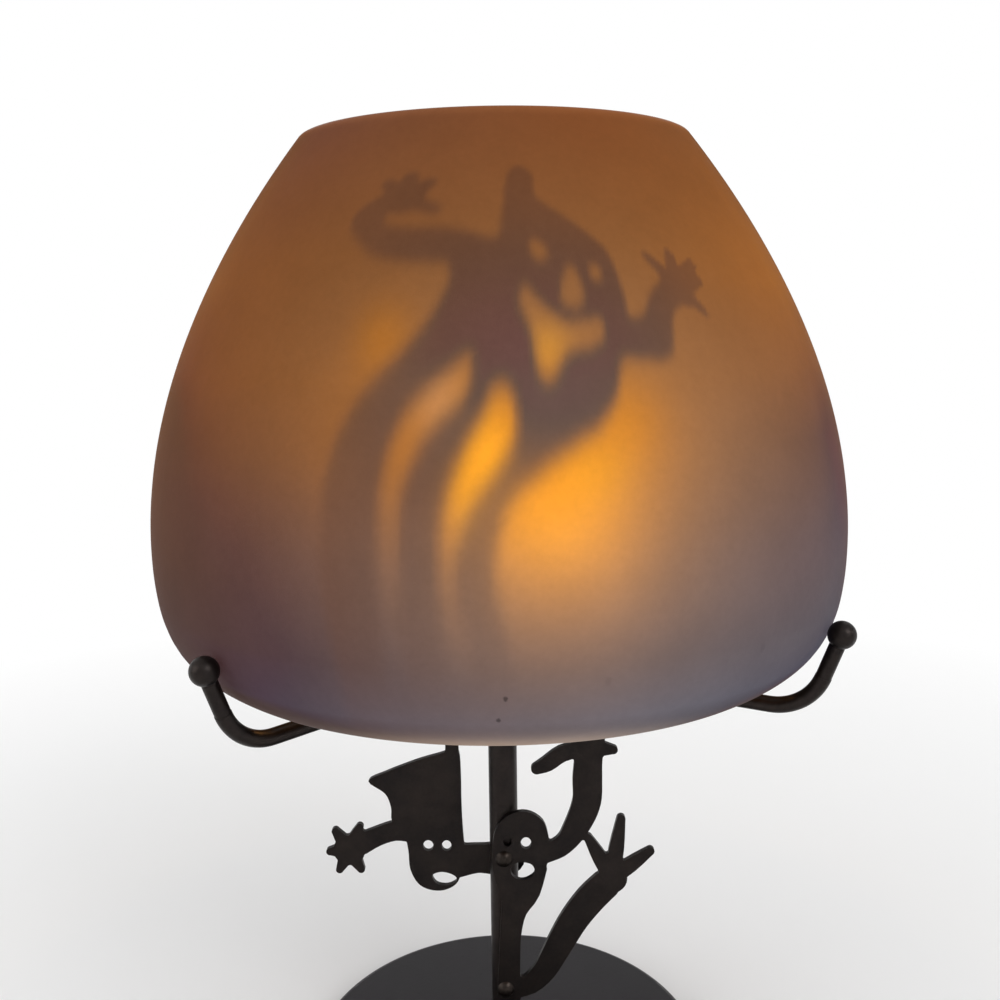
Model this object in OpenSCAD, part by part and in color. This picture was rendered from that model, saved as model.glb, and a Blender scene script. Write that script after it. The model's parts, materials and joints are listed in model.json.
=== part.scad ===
// Tea light lamp: a bell of frosted glass stands on three ball-tipped arms at the head of a slim stem.
// One cut-out figure stands in the glass before the flame, and two more are riveted to the stem below.
// Millimetres, +Z up, origin at the middle of the foot's underside, front towards -Y.

/* [Foot] */
// Diameter of the round foot plate
base_d = 113; // [90:1:150]
// Thickness of the foot plate
base_t = 6; // [5:0.5:12]
// Rounding of the foot plate's upper edge
base_round = 2; // [0.5:0.25:3]
// Thickness of the felt under the foot plate
felt_t = 1.2; // [0.8:0.1:3]
// Bare metal left round the felt
felt_margin = 4; // [2:0.5:10]

/* [Stem] */
// Diameter of the stem
stem_d = 8; // [7:0.25:12]
// Length of stem that shows between the foot and the hub
stem_show = 110.5; // [100:0.5:150]
// Depth of the foot's socket for the stem
foot_socket = 2; // [1:0.25:3]
// Depth of the hub's socket for the stem
hub_socket = 4; // [2:0.25:4.5]
// Depth of the flats on the stem where the lower figures are riveted
flat_depth = 0.4; // [0.2:0.1:0.8]

/* [Hub and arms] */
// Diameter of the hub
hub_d = 24; // [20:0.5:32]
// Height of the hub
hub_h = 11; // [11:0.5:16]
// Diameter of the arms' rod
rod_d = 4; // [3:0.25:4.5]
// Depth of the hub's sockets for the arms
rod_socket = 6; // [4:0.25:6.5]
// Drop from the shade's rim to the middle of the level rods
rod_drop = 6.5; // [6:0.5:16]
// Bend of the arms, on the rod's centre line
bend_r = 13.5; // [8:0.5:16]
// Diameter of the balls that carry the glass
ball_d = 6.7; // [6:0.1:10]
// Angle between the two front arms
arm_spread = 104; // [90:1:120]
// Angle that the set of three arms is turned about the stem
arm_angle = 8; // [-20:1:40]
// Outward lean of the arms' ends
arm_lean = 20; // [0:1:30]

/* [Glass shade] */
// Largest diameter of the shade
shade_d = 180; // [174:1:200]
// Height of the shade
shade_h = 131.5; // [124:0.5:160]
// Outer diameter of the shade at its lower rim
mouth_d = 154; // [148:1:160]
// Outer diameter of the shade at its open top
neck_d = 99; // [90:1:120]
// Height of the widest ring above the lower rim
belly_z = 31.5; // [28:0.5:40]
// Thickness of the glass
glass_t = 3; // [2:0.25:4]
// Part of the way from the rim to the widest ring at which the balls touch
seat_share = 0.61; // [0.25:0.01:0.7]

/* [Candle holder] */
// Room between the sheet tray's edge and the upper figure
tray_room = 4.5; // [3:0.25:12]
// Thickness of the tray's sheet
tray_t = 1.2; // [0.8:0.1:2]
// Height of the tray's turned-up edge
tray_edge = 3.5; // [2:0.25:6]
// Thickness of the candle cup's sheet
cup_t = 0.8; // [0.6:0.1:1.2]
// Height of the cup's floor above the tray
cup_lift = 5; // [5:0.25:9]
// Height of the cup's wall above its floor
cup_wall = 12; // [8:0.5:14]
// Gap round the tea light in its cup
cup_gap = 0.6; // [0.4:0.1:1]

/* [Tea light] */
// Diameter of the tea light
tealight_d = 38; // [37:0.5:40]
// Height of the tea light's metal shell
tealight_h = 16; // [14:0.5:20]
// Thickness of the shell
shell_t = 0.4; // [0.3:0.05:0.6]
// Depth of wax left in the shell
wax_h = 11.5; // [8:0.5:12.5]
// Diameter of the wick
wick_d = 1.6; // [1.2:0.1:2]
// Length of wick above the wax
wick_show = 6; // [4:0.5:9]
// Diameter of the wick's metal foot
tab_d = 13; // [9:0.5:16]
// Thickness of the wick's metal foot
tab_t = 0.5; // [0.3:0.1:0.8]

/* [Figures] */
// Thickness of the figures' plates
figure_t = 1.6; // [1.2:0.1:2]
// Fillets where the figures' limbs and fingers meet
figure_fillet = 0.5; // [0.3:0.1:0.6]
// Height of the figure in the shade, from its foot to the tip of its hood
upper_h = 92; // [76:1:94]
// Height of that figure's foot over the shade's lower rim
upper_rise = 8; // [6:0.5:10]
// Angle that this figure is turned about the stem, below 0 towards the right arm
upper_angle = -12; // [-25:1:5]
// Room left between that figure's outer hand and the shade's mouth
upper_room = 6; // [4:0.5:10]
// Height of the right lower figure, from its robe's foot to its raised fingertips
lower_h = 90.4; // [76:0.2:92]
// Room between the foot plate and that figure
lower_rise = 14.1; // [8:0.1:20]
// Diameter of the rivets' shanks
rivet_d = 2.6; // [2:0.1:3]
// Diameter of the rivets' heads
rivet_head_d = 4.8; // [4:0.1:6]
// Height of the rivets' heads
rivet_head_h = 1.3; // [1:0.1:2]
// Width of the upper figure's bracket
bracket_w = 12; // [10:0.5:16]
// Thickness of the upper figure's bracket
bracket_t = 1.5; // [1.2:0.1:2.5]

/* [Screws] */
// Diameter of the screws' threads
screw_d = 5; // [4:0.5:5]
// Length of the screw up through the foot
foot_screw_l = 16; // [12:0.5:20]
// Length of thread that the cup's screw has in the stem
cup_screw_grip = 8; // [6:0.5:12]

/* [Hidden] */

$fn = 64;

// Clearances: fixed pieces in their sockets, pieces that lift off their seats
fit = 0.05;
seat_gap = 0.3;

// Colours
iron = [0.14, 0.12, 0.13];
bronze = [0.22, 0.18, 0.17];
steel = [0.55, 0.53, 0.5];
tin = [0.78, 0.78, 0.8];
wax_colour = [0.93, 0.9, 0.82];
glass_colour = [0.85, 0.72, 0.6, 0.8];

// Heights
plate_z = felt_t;
plate_top = plate_z + base_t;
stem_z = plate_top - foot_socket;
hub_z = plate_top + stem_show;
hub_top = hub_z + hub_h;
stem_h = hub_z + hub_socket - stem_z;
rod_z = hub_z + hub_h / 2;
rim_z = rod_z + rod_drop;
tray_top = hub_top + tray_t;
cup_floor = tray_top + cup_lift;

// Screws: head sizes follow the thread
screw_hole_r = screw_d / 2 + 0.2;
sunk_head_r = screw_d;
sunk_head_h = screw_d / 2;
pan_head_r = screw_d * 0.9;
pan_head_h = screw_d * 0.6;
key_af = screw_d * 0.6;
key_depth = screw_d * 0.35;
thread_room = 2;
washer_t = 0.8;
washer_r = pan_head_r + 1.5;

// The shade's outer line: from the rim out to the widest ring, then in to the open top
mouth_r = mouth_d / 2;
belly_r = shade_d / 2;
neck_r = neck_d / 2;
lip_r = glass_t / 2;
neck_z = shade_h - lip_r / 3;
curl_out = 9;
curl_up = 5.2;
belly_pull = 0.6 * belly_z;
side_pull = 0.445 * (neck_z - belly_z);
shoulder_out = 13;
shoulder_down = 16.6;
profile_steps = 14;

function bezier(p, t) =
    pow(1 - t, 3) * p[0] + 3 * pow(1 - t, 2) * t * p[1] + 3 * (1 - t) * t * t * p[2] + pow(t, 3) * p[3];

function bezier_way(p, t) =
    3 * (pow(1 - t, 2) * (p[1] - p[0]) + 2 * (1 - t) * t * (p[2] - p[1]) + t * t * (p[3] - p[2]));

function unit(v) = v / norm(v);

// A quarter turn to the left
function left(v) = [-v[1], v[0]];

lower_line_of_glass = [
    [mouth_r, 0],
    [mouth_r + curl_out, curl_up],
    [belly_r, belly_z - belly_pull],
    [belly_r, belly_z]
];
upper_line_of_glass = [
    [belly_r, belly_z],
    [belly_r, belly_z + side_pull],
    [neck_r + shoulder_out, neck_z - shoulder_down],
    [neck_r, neck_z]
];

function glass_line(inset) = concat(
    [for (i = [0:profile_steps - 1]) let (t = i / profile_steps)
        bezier(lower_line_of_glass, t) + inset * left(unit(bezier_way(lower_line_of_glass, t)))],
    [for (i = [0:profile_steps * 2]) let (t = i / profile_steps / 2)
        bezier(upper_line_of_glass, t) + inset * left(unit(bezier_way(upper_line_of_glass, t)))]
);

// A half round from one side of the glass to the other, for its fire-polished lips
function lip(from, to, steps = 8) = let (mid = (from + to) / 2, arm = from - mid)
    [for (i = [1:steps - 1]) let (a = 180 * i / steps) mid + cos(a) * arm + sin(a) * left(arm)];

// The balls touch the glass from outside and below
seat_point = bezier(lower_line_of_glass, seat_share);
seat_out = -left(unit(bezier_way(lower_line_of_glass, seat_share)));
ball_centre = seat_point + (ball_d / 2 + seat_gap) * seat_out;
arm_r = ball_centre[0];
ball_z = rim_z + ball_centre[1];
ball_socket = ball_d * 0.35;

// An arm: level out from the hub, a bend upwards, then straight along its lean into the ball
arm_rise = 90 - arm_lean;
straight_l = (ball_z - rod_z - bend_r * (1 - cos(arm_rise))) / sin(arm_rise);
bend_end_x = arm_r - straight_l * cos(arm_rise);
bend_start_x = bend_end_x - bend_r * sin(arm_rise);

// Past the bend the rod is turned down a little, which starts just inside the bend
arm_end_step = 0.1;
arm_end_r = rod_d / 2 - arm_end_step;
arm_end_in = 0.6;

// Lines of the drawings that set how large the figures are
function hood_line() = [[14, 92], [12.1, 89.4], [11.4, 85], [11.1, 80], [10.7, 75], [10.3, 70.4], [10.8, 66],
    [12.4, 62.6], [14.7, 60.9], [16.3, 58.9], [18, 57.6], [19.6, 57.4], [21.6, 58.5], [24, 59.3], [27, 59.8],
    [28.5, 62.8], [28.3, 66.6], [27.8, 70.4], [26.8, 74.4], [24.4, 76.8], [20.6, 79.6], [17.2, 82], [15.9, 84.4],
    [16, 89.6]];
function outer_fingers() = [[48.8, 80.1], [47, 71], [48.2, 84.4], [41.6, 82.6], [35.3, 77.5]];
function robe_line() = [[5, 14, 7], [4.4, 7, 5.6], [2.6, 1, 3.6], [1.6, -6, 3], [1.2, -14, 3],
    [1, -20, 3.2], [1, -25, 3.4]];
function raised_fingers() = [[24, 60.8], [17.4, 58], [30, 57.6], [30.6, 48.8]];
tip_r = 1.2;
robe_foot = robe_line()[len(robe_line()) - 1];

// The upper figure stands as far out as its outer hand allows
upper_k = upper_h / hood_line()[0][1];
upper_reach = (outer_fingers()[0][0] + tip_r) * upper_k;
upper_r = sqrt(pow(mouth_r - glass_t - upper_room, 2) - pow(upper_reach, 2)) - figure_t;
tray_r = upper_r - tray_room;
foot_x = 2;
foot_w = 18;
foot_h = 14;
foot_round = 2;
foot_rivet_z = 7;
foot_rivet_out = 4;
hub_room = 2;
bracket_in = hub_d / 2 + hub_room;
bracket_tip = 1;
bracket_top = rim_z + upper_rise + foot_h - bracket_tip;
bracket_z = hub_top - bracket_t;

// The lower figures are drawn about the stem's axis, from this height
lower_k = lower_h / (raised_fingers()[0][1] + tip_r - robe_foot[1] + robe_foot[2]);
line_z = plate_top + lower_rise - (robe_foot[1] - robe_foot[2]) * lower_k;
flat_y = stem_d / 2 - flat_depth;
left_rivet_z = [9.7 * lower_k, 15.3 * lower_k];
left_flat_z = [6 * lower_k, 19 * lower_k];
right_rivet_z = [-23 * lower_k, 17 * lower_k];
right_flat_z = [-30 * lower_k, 32 * lower_k];
stem_grip = 3;
tail_shank = 0.5;

// Curves for the figures

// A point between b and c on the smooth curve through a, b, c and d
function smooth(a, b, c, d, t) =
    0.5 * (2 * b + (c - a) * t + (2 * a - 5 * b + 4 * c - d) * t * t + (3 * b - a - 3 * c + d) * pow(t, 3));

// A closed smooth line through the points
function loop(p, steps = 4) = let (n = len(p))
    [for (i = [0:n - 1], j = [0:steps - 1])
        smooth(p[(i + n - 1) % n], p[i], p[(i + 1) % n], p[(i + 2) % n], j / steps)];

// An open smooth line through the points
function strand(p, steps = 3) = let (n = len(p)) concat(
    [for (i = [0:n - 2], j = [0:steps - 1])
        smooth(p[max(i - 1, 0)], p[i], p[i + 1], p[min(i + 2, n - 1)], j / steps)],
    [p[n - 1]]
);

function flat(v) = [v[0], v[1]];

// The side of a strand: its middle moved out by its half width
function side(c, i, s) = let (n = len(c), way = unit(flat(c[min(i + 1, n - 1)]) - flat(c[max(i - 1, 0)])))
    flat(c[i]) + s * c[i][2] * left(way);

// A limb along points of [x, z, half width], with round ends
module limb(p) {
    c = strand(p);
    n = len(c);
    polygon(concat([for (i = [0:n - 1]) side(c, i, 1)], [for (i = [n - 1:-1:0]) side(c, i, -1)]));
    for (e = [p[0], p[len(p) - 1]]) {
        translate(flat(e)) circle(r = e[2], $fn = 16);
    }
}

module blob(p) {
    polygon(loop(p));
}

// Fingers from a palm: each is [tip x, tip z]
module hand(palm, palm_r, tips, root_w, tip_w = tip_r) {
    translate(palm) circle(r = palm_r, $fn = 24);
    for (tip = tips) {
        half_way = (palm + tip) / 2;
        limb([concat(palm, root_w), concat(half_way, root_w), concat(tip, tip_w)]);
    }
}

module oval(x, z, w, h, tilt) {
    translate([x, z]) rotate(tilt) scale([w / h, 1]) circle(d = h, $fn = 20);
}

// A flat drawing stood upright, its back at the given distance in front of the axis.
// Its pieces flow into each other with small fillets, as the edges of a stamped plate do.
module stand_plate(y, t) {
    translate([0, -y, 0]) rotate([90, 0, 0]) linear_extrude(height = t)
        offset(r = -figure_fillet, $fn = 16) offset(delta = figure_fillet) children();
}

// A domed rivet along -Y: its head's seat at y = 0, its shank behind it
module rivet(shank) {
    cap_r = (pow(rivet_head_d / 2, 2) + pow(rivet_head_h, 2)) / (2 * rivet_head_h);
    rotate([90, 0, 0]) intersection() {
        translate([0, 0, rivet_head_h - cap_r]) sphere(r = cap_r);
        cylinder(h = rivet_head_h, r = rivet_head_d / 2);
    }
    rotate([-90, 0, 0]) cylinder(h = shank, r = rivet_d / 2);
}

module rivet_hole(depth) {
    rotate([-90, 0, 0]) cylinder(h = depth, r = rivet_d / 2 + fit);
}

module key_socket() {
    cylinder(h = key_depth, d = key_af / cos(30), $fn = 6);
}

// Foot

module base_felt() {
    color("dimgray") cylinder(h = felt_t, d = base_d - 2 * felt_margin);
}

module base_plate() {
    color(iron) translate([0, 0, plate_z]) difference() {
        rotate_extrude($fn = 96) {
            square([base_d / 2, base_t - base_round]);
            square([base_d / 2 - base_round, base_t]);
            translate([base_d / 2 - base_round, base_t - base_round]) circle(r = base_round);
        }
        translate([0, 0, -1]) cylinder(h = base_t + 2, r = screw_hole_r);
        translate([0, 0, base_t - foot_socket]) cylinder(h = foot_socket + 1, r = stem_d / 2 + fit);
        cylinder(h = sunk_head_h, r1 = sunk_head_r + fit, r2 = screw_d / 2 + fit);
    }
}

module base_screw() {
    color(steel) translate([0, 0, plate_z]) difference() {
        union() {
            cylinder(h = sunk_head_h, r1 = sunk_head_r, r2 = screw_d / 2);
            cylinder(h = foot_screw_l, r = screw_d / 2);
        }
        key_socket();
    }
}

// Stem

// A flat for a figure's plate, from one height over the drawing line to another
module stem_flat(z, front) {
    depth = stem_d / 2;
    translate([-depth, front ? -flat_y - depth : flat_y, line_z + z[0]])
        cube([stem_d, depth, z[1] - z[0]]);
}

module stem() {
    color(bronze) difference() {
        translate([0, 0, stem_z]) cylinder(h = stem_h, r = stem_d / 2);
        translate([0, 0, stem_z - 1])
            cylinder(h = plate_z + foot_screw_l + thread_room - stem_z + 1, r = screw_d / 2 + fit);
        translate([0, 0, hub_z + hub_socket - cup_screw_grip - thread_room])
            cylinder(h = cup_screw_grip + thread_room + 1, r = screw_d / 2 + fit);
        stem_flat(left_flat_z, false);
        stem_flat(right_flat_z, true);
        for (z = left_rivet_z) {
            translate([0, flat_y + 1, line_z + z]) rotate([0, 0, 180]) rivet_hole(stem_grip + 1);
        }
        for (z = right_rivet_z) {
            translate([0, -flat_y - 1, line_z + z]) rivet_hole(stem_grip + 1);
        }
    }
}

// Hub and arms: left, right and back

arm_angles = [for (a = [270 - arm_spread / 2, 270 + arm_spread / 2, 90]) a + arm_angle];
hub_bevel = 2.1;

module arm_hub() {
    color(bronze) difference() {
        translate([0, 0, hub_z]) rotate_extrude($fn = 96) difference() {
            square([hub_d / 2, hub_h]);
            translate([hub_d / 2, 0]) rotate(45) square(hub_bevel * sqrt(2), center = true);
        }
        translate([0, 0, hub_z - 1]) cylinder(h = hub_socket + 1, r = stem_d / 2 + fit);
        translate([0, 0, hub_z]) cylinder(h = hub_h + 1, r = screw_hole_r);
        for (a = arm_angles) {
            rotate([0, 0, a]) translate([hub_d / 2 - rod_socket, 0, rod_z])
                rotate([0, 90, 0]) cylinder(h = rod_socket + 1, r = rod_d / 2 + fit);
        }
    }
}

module arm(a) {
    start = hub_d / 2 - rod_socket;
    color(bronze) rotate([0, 0, a]) {
        translate([start, 0, rod_z]) rotate([0, 90, 0]) cylinder(h = bend_start_x - start, r = rod_d / 2);
        translate([bend_start_x, 0, rod_z + bend_r]) rotate([90, 0, 0]) rotate([0, 0, -90])
            rotate_extrude(angle = arm_rise) translate([bend_r, 0]) circle(r = rod_d / 2, $fn = 48);
        translate([bend_end_x, 0, rod_z + bend_r * (1 - cos(arm_rise))]) rotate([0, arm_lean, 0])
            translate([0, 0, -arm_end_in])
                cylinder(h = arm_end_in + straight_l - ball_d / 2 + ball_socket, r = arm_end_r);
    }
}

module ball(a) {
    color(steel) rotate([0, 0, a]) translate([arm_r, 0, ball_z]) difference() {
        sphere(r = ball_d / 2);
        rotate([0, arm_lean, 0]) translate([0, 0, -ball_d])
            cylinder(h = ball_d / 2 + ball_socket, r = arm_end_r + fit);
    }
}

module arm_left() {
    arm(arm_angles[0]);
}

module arm_right() {
    arm(arm_angles[1]);
}

module arm_back() {
    arm(arm_angles[2]);
}

module ball_left() {
    ball(arm_angles[0]);
}

module ball_right() {
    ball(arm_angles[1]);
}

module ball_back() {
    ball(arm_angles[2]);
}

// Candle holder

module candle_tray() {
    corner_r = 2;
    color(bronze) difference() {
        translate([0, 0, hub_top]) rotate_extrude($fn = 96) {
            square([tray_r - corner_r, tray_t]);
            translate([tray_r - tray_t, corner_r]) square([tray_t, tray_edge - corner_r]);
            translate([tray_r - tray_t / 2, tray_edge]) circle(r = tray_t * 0.75, $fn = 24);
            translate([tray_r - corner_r, corner_r]) intersection() {
                difference() {
                    circle(r = corner_r);
                    circle(r = corner_r - tray_t);
                }
                translate([0, -corner_r]) square(corner_r);
            }
        }
        translate([0, 0, hub_top - 1]) cylinder(h = tray_t + 2, r = screw_hole_r);
        bracket_rivet_places() translate([0, 0, -1]) cylinder(h = tray_t + 2, r = rivet_d / 2 + fit);
    }
}

cup_in_r = tealight_d / 2 + cup_gap;
dimple_r = washer_r + 1;

module candle_cup() {
    out_r = cup_in_r + cup_t;
    color(bronze) translate([0, 0, tray_top]) difference() {
        rotate_extrude($fn = 96) {
            square([dimple_r + cup_t, cup_t]);
            translate([dimple_r, 0]) square([cup_t, cup_lift]);
            translate([dimple_r, cup_lift - cup_t]) square([out_r - dimple_r, cup_t]);
            translate([cup_in_r, cup_lift - cup_t]) square([cup_t, cup_t + cup_wall]);
            translate([cup_in_r + cup_t, cup_lift + cup_wall]) circle(r = cup_t, $fn = 24);
        }
        translate([0, 0, -1]) cylinder(h = cup_t + 2, r = screw_hole_r);
    }
}

module cup_washer() {
    color(steel) translate([0, 0, tray_top + cup_t]) difference() {
        cylinder(h = washer_t, r = washer_r);
        translate([0, 0, -1]) cylinder(h = washer_t + 2, r = screw_hole_r);
    }
}

module cup_screw() {
    head_z = tray_top + cup_t + washer_t;
    end_z = hub_z + hub_socket - cup_screw_grip;
    color(steel) difference() {
        union() {
            translate([0, 0, head_z]) cylinder(h = pan_head_h, r = pan_head_r);
            translate([0, 0, end_z]) cylinder(h = head_z - end_z, r = screw_d / 2);
        }
        translate([0, 0, head_z + pan_head_h - key_depth]) key_socket();
    }
}

// Upper figure and its bracket, which turn together about the stem

module at_upper() {
    rotate([0, 0, upper_angle]) children();
}

tray_rivet_in = 8;
bracket_rivet_r = [bracket_in + rivet_head_d, tray_r - tray_rivet_in];

module bracket_rivet_places() {
    at_upper() for (r = bracket_rivet_r) {
        translate([foot_x, -r, hub_top]) children();
    }
}

upper_rivet_z = rim_z + upper_rise + foot_rivet_z;

module upper_rivet_places() {
    at_upper() for (s = [-1, 1]) {
        translate([foot_x + s * foot_rivet_out, -upper_r - figure_t, upper_rivet_z]) children();
    }
}

module ghost_bracket() {
    color(bronze) difference() {
        at_upper() {
            translate([foot_x - bracket_w / 2, -upper_r, bracket_z])
                cube([bracket_w, upper_r - bracket_in, bracket_t]);
            translate([foot_x - bracket_w / 2, -upper_r, bracket_z])
                cube([bracket_w, bracket_t, bracket_top - bracket_z]);
        }
        bracket_rivet_places() translate([0, 0, -bracket_t - 1])
            cylinder(h = bracket_t + 2, r = rivet_d / 2 + fit);
        upper_rivet_places() translate([0, -1, 0]) rivet_hole(figure_t + bracket_t + 2);
    }
}

module bracket_rivets() {
    color(steel) bracket_rivet_places() {
        translate([0, 0, tray_t]) rotate([-90, 0, 0]) rivet(tray_t + bracket_t);
        translate([0, 0, -bracket_t]) rotate([90, 0, 0]) rivet(tail_shank);
    }
}

module upper_foot() {
    translate([foot_x - foot_w / 2, foot_round]) square([foot_w, foot_h - 2 * foot_round]);
    translate([foot_x - foot_w / 2 + foot_round, 0]) square([foot_w - 2 * foot_round, foot_h]);
    for (s = [-1, 1], z = [foot_round, foot_h - foot_round]) {
        translate([foot_x + s * (foot_w / 2 - foot_round), z]) circle(r = foot_round, $fn = 16);
    }
}

module upper_drawing() {
    upper_foot();
    scale(upper_k) difference() {
        union() {
            // Hood and face
            blob(hood_line());
            // Chest
            blob([[9.6, 71], [5.4, 69], [4, 65.4], [4.2, 61.6], [4, 58.6], [3.2, 55.6], [4.8, 52.8], [7.2, 51.2],
                [8.6, 48.8], [10, 47.1], [11.2, 46.7], [11.9, 44.6], [12, 42], [13.4, 40.4], [16.8, 39.6],
                [19.6, 41.5], [22.6, 44.1], [24.3, 46.6], [25.3, 49.8], [26.2, 53.4], [28, 57], [26, 62],
                [18, 66], [12, 70]]);
            // Three strands of the robe
            limb([[7, 60, 3.2], [5, 54, 3.2], [1.9, 49.5, 2.9], [-1.9, 44.9, 2.8], [-4.2, 40, 3.1],
                [-5.2, 35.5, 3.2], [-5.5, 30.2, 3.1], [-5.2, 24, 3], [-4.6, 18, 2.8], [-4, 13, 2.6]]);
            limb([[10, 54, 3], [9.3, 50, 2], [8, 46, 1.3], [7, 43.4, 1.6], [5, 40.4, 2.1], [3.5, 37.4, 2.3],
                [2.4, 34, 2.3], [1.9, 30, 2.1], [2, 25, 1.95], [2.3, 19, 2], [2.5, 13, 2.2]]);
            limb([[18, 46, 5], [15.7, 42.2, 3.6], [13.3, 38.6, 2.3], [10.6, 35.2, 1.8], [8.9, 32.4, 1.8],
                [8, 29.6, 1.9], [7.5, 26.5, 1.95], [7.8, 22.8, 2], [9, 18.6, 1.9], [9.2, 13, 2]]);
            // Right arm and hand
            limb([[25, 57, 3.6], [29.6, 58, 3.5], [32.6, 59.2, 3.6], [34.2, 62.6, 2.7], [35.2, 65.6, 2.5],
                [36.9, 68.6, 2.4], [39.6, 71.8, 2.8]]);
            hand([41.2, 73.7], 4.3, outer_fingers(), root_w = 1.8);
            // Left arm and hand
            limb([[9, 67.2, 3.2], [3.8, 68.6, 3.6], [-1, 68.8, 3.6], [-4.6, 69.8, 3.4], [-7.6, 72.5, 2.5],
                [-8.9, 76, 2.8], [-7.4, 78.9, 2.6], [-4.6, 79.8, 2.4]]);
            hand([-4, 79.7], 3.6, [[-7, 85.2], [-3.4, 86.6], [-0.2, 84.2], [1.1, 76.7]], root_w = 1.7);
        }
        // Eyes and open mouth
        oval(15.8, 69.7, 2.6, 4.4, 8);
        oval(24.1, 68.1, 2, 3.6, -8);
        blob([[20.4, 68.6], [19.2, 65.8], [18.5, 62.8], [18.3, 60.8], [19.8, 59.8], [21.5, 61.2], [21.8, 63.8],
            [21.4, 66]]);
        // Opening between the chin and the chest
        blob([[13.5, 62.6], [12.7, 59.6], [13.1, 57.8], [14.2, 55], [14.5, 51.8], [14.8, 49.2], [15.9, 48.2],
            [17.1, 49.6], [17.8, 51.5], [19.4, 53.1], [21.6, 54], [23.6, 55.7], [24.1, 57.6], [23.7, 59.3],
            [21.6, 58.5], [19.6, 57.5], [18, 57.7], [16.3, 59], [14.8, 61]]);
    }
}

module ghost_upper() {
    color(iron) difference() {
        at_upper() translate([0, 0, rim_z + upper_rise]) stand_plate(upper_r, figure_t) upper_drawing();
        upper_rivet_places() translate([0, -1, 0]) rivet_hole(figure_t + 2);
    }
}

module ghost_upper_rivets() {
    color(steel) upper_rivet_places() {
        rivet(figure_t + bracket_t);
        translate([0, figure_t + bracket_t, 0]) rotate([0, 0, 180]) rivet(tail_shank);
    }
}

// Lower figures, drawn with x from the stem's axis and z from the drawing line

module left_drawing() {
    scale(lower_k) difference() {
        union() {
            // Head, with its hood blown back to a point
            blob([[-12.4, 45], [-12, 38], [-12, 30], [-11.8, 22.6], [-11.4, 14], [-12.4, 8.6], [-14, 4.9],
                [-17.6, 3], [-21.6, 3.2], [-25, 5.2], [-27.2, 9.8], [-27.6, 15.6], [-28.8, 21], [-32, 24.6],
                [-32.2, 28.8], [-33.8, 33], [-38.4, 36.8], [-33.4, 39.4], [-28.4, 41.4], [-23.4, 43.2],
                [-18.4, 44.6], [-14.6, 45.6]]);
            // Tail that rises behind the shade's rim
            limb([[-14.8, 38, 2.4], [-14.4, 46, 1.9], [-14.8, 53, 1.6], [-17.2, 58, 1.1], [-20, 60, 0.8]]);
            // Shoulder that runs on behind the stem
            limb([[-13, 12, 5], [-8, 12.6, 4.4], [-4.4, 12.5, 4.6], [-1, 12.5, 5.4], [1.2, 12.5, 4.8]]);
            // Arm and hand
            limb([[-27, 21.5, 3.4], [-31.5, 21.4, 2.9], [-36.4, 19.8, 2.8], [-41, 17.6, 3.2]]);
            hand([-44.6, 15.8], 4.6, [[-41.4, 22.8], [-48.4, 21.6], [-50.2, 15.4], [-47.6, 9.8], [-41.4, 9.8]],
                root_w = 1.9, tip_w = 1.1);
        }
        oval(-21.8, 16.9, 3, 3.4, 0);
        oval(-16.5, 16.8, 2.8, 3.4, 0);
        blob([[-20.8, 7.7], [-18, 8.7], [-14.6, 7.6], [-13.8, 5.9], [-16.4, 4.5], [-19.6, 5.1]]);
    }
}

module right_drawing() {
    scale(lower_k) difference() {
        union() {
            // Head
            blob([[-3.2, 19.5], [-2.2, 26], [1.6, 30.2], [6.6, 31], [11, 28.2], [12.6, 23], [12.6, 19.4],
                [12.2, 15.8], [11.3, 13], [10.2, 10], [9.2, 7], [7.4, 4.2], [4.6, 2.6], [1.6, 3.2],
                [-1.4, 7.5], [-3.2, 14]]);
            // Robe down the stem
            limb(robe_line());
            // Raised arm
            limb([[8, 18.5, 4.4], [12.4, 18.9, 3], [15.4, 20.1, 2.9], [17.8, 22.2, 3], [19.6, 24.9, 3.4],
                [21.3, 28.2, 3.7], [22.6, 31.4, 3.9], [23.4, 35, 4], [23.4, 40.2, 4.1], [23.6, 45, 3.9],
                [23.8, 48.5, 4]]);
            hand([23.6, 49.6], 5, raised_fingers(), root_w = 2.1);
            limb([[22, 49.4, 2.3], [16.4, 47.8, 2.3], [12.4, 45, 2.2], [9.4, 43.6, 1.6]]);
            // Arm from the robe's foot
            limb([[2, -23, 3], [7, -21.6, 3], [11, -17.6, 3.3], [13.8, -12.6, 3.6], [16.4, -7.6, 3.9],
                [19.8, -1.6, 4.1], [24.3, 4.4, 4.3], [28.6, 8.8, 4.2]]);
            hand([30.3, 10.6], 4.3, [[23.6, 22.9], [32.8, 28.5], [41, 18.7]], root_w = 2.1);
        }
        oval(6.2, 21.7, 3, 3.6, 0);
        oval(1, 22.3, 2.4, 3.2, 0);
        blob([[1.8, 14.6], [4.4, 16], [7.8, 15.2], [8.4, 12.4], [5.4, 10.6], [2.6, 11.6]]);
    }
}

module left_rivet_places() {
    for (z = left_rivet_z) {
        translate([0, flat_y + figure_t, line_z + z]) rotate([0, 0, 180]) children();
    }
}

module right_rivet_places() {
    for (z = right_rivet_z) {
        translate([0, -flat_y - figure_t, line_z + z]) children();
    }
}

module ghost_left() {
    color(iron) difference() {
        translate([0, 0, line_z]) stand_plate(-flat_y - figure_t, figure_t) left_drawing();
        left_rivet_places() translate([0, -1, 0]) rivet_hole(figure_t + 2);
    }
}

module ghost_right() {
    color(iron) difference() {
        translate([0, 0, line_z]) stand_plate(flat_y, figure_t) right_drawing();
        right_rivet_places() translate([0, -1, 0]) rivet_hole(figure_t + 2);
    }
}

module ghost_left_rivets() {
    color(steel) left_rivet_places() rivet(figure_t + stem_grip);
}

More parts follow.
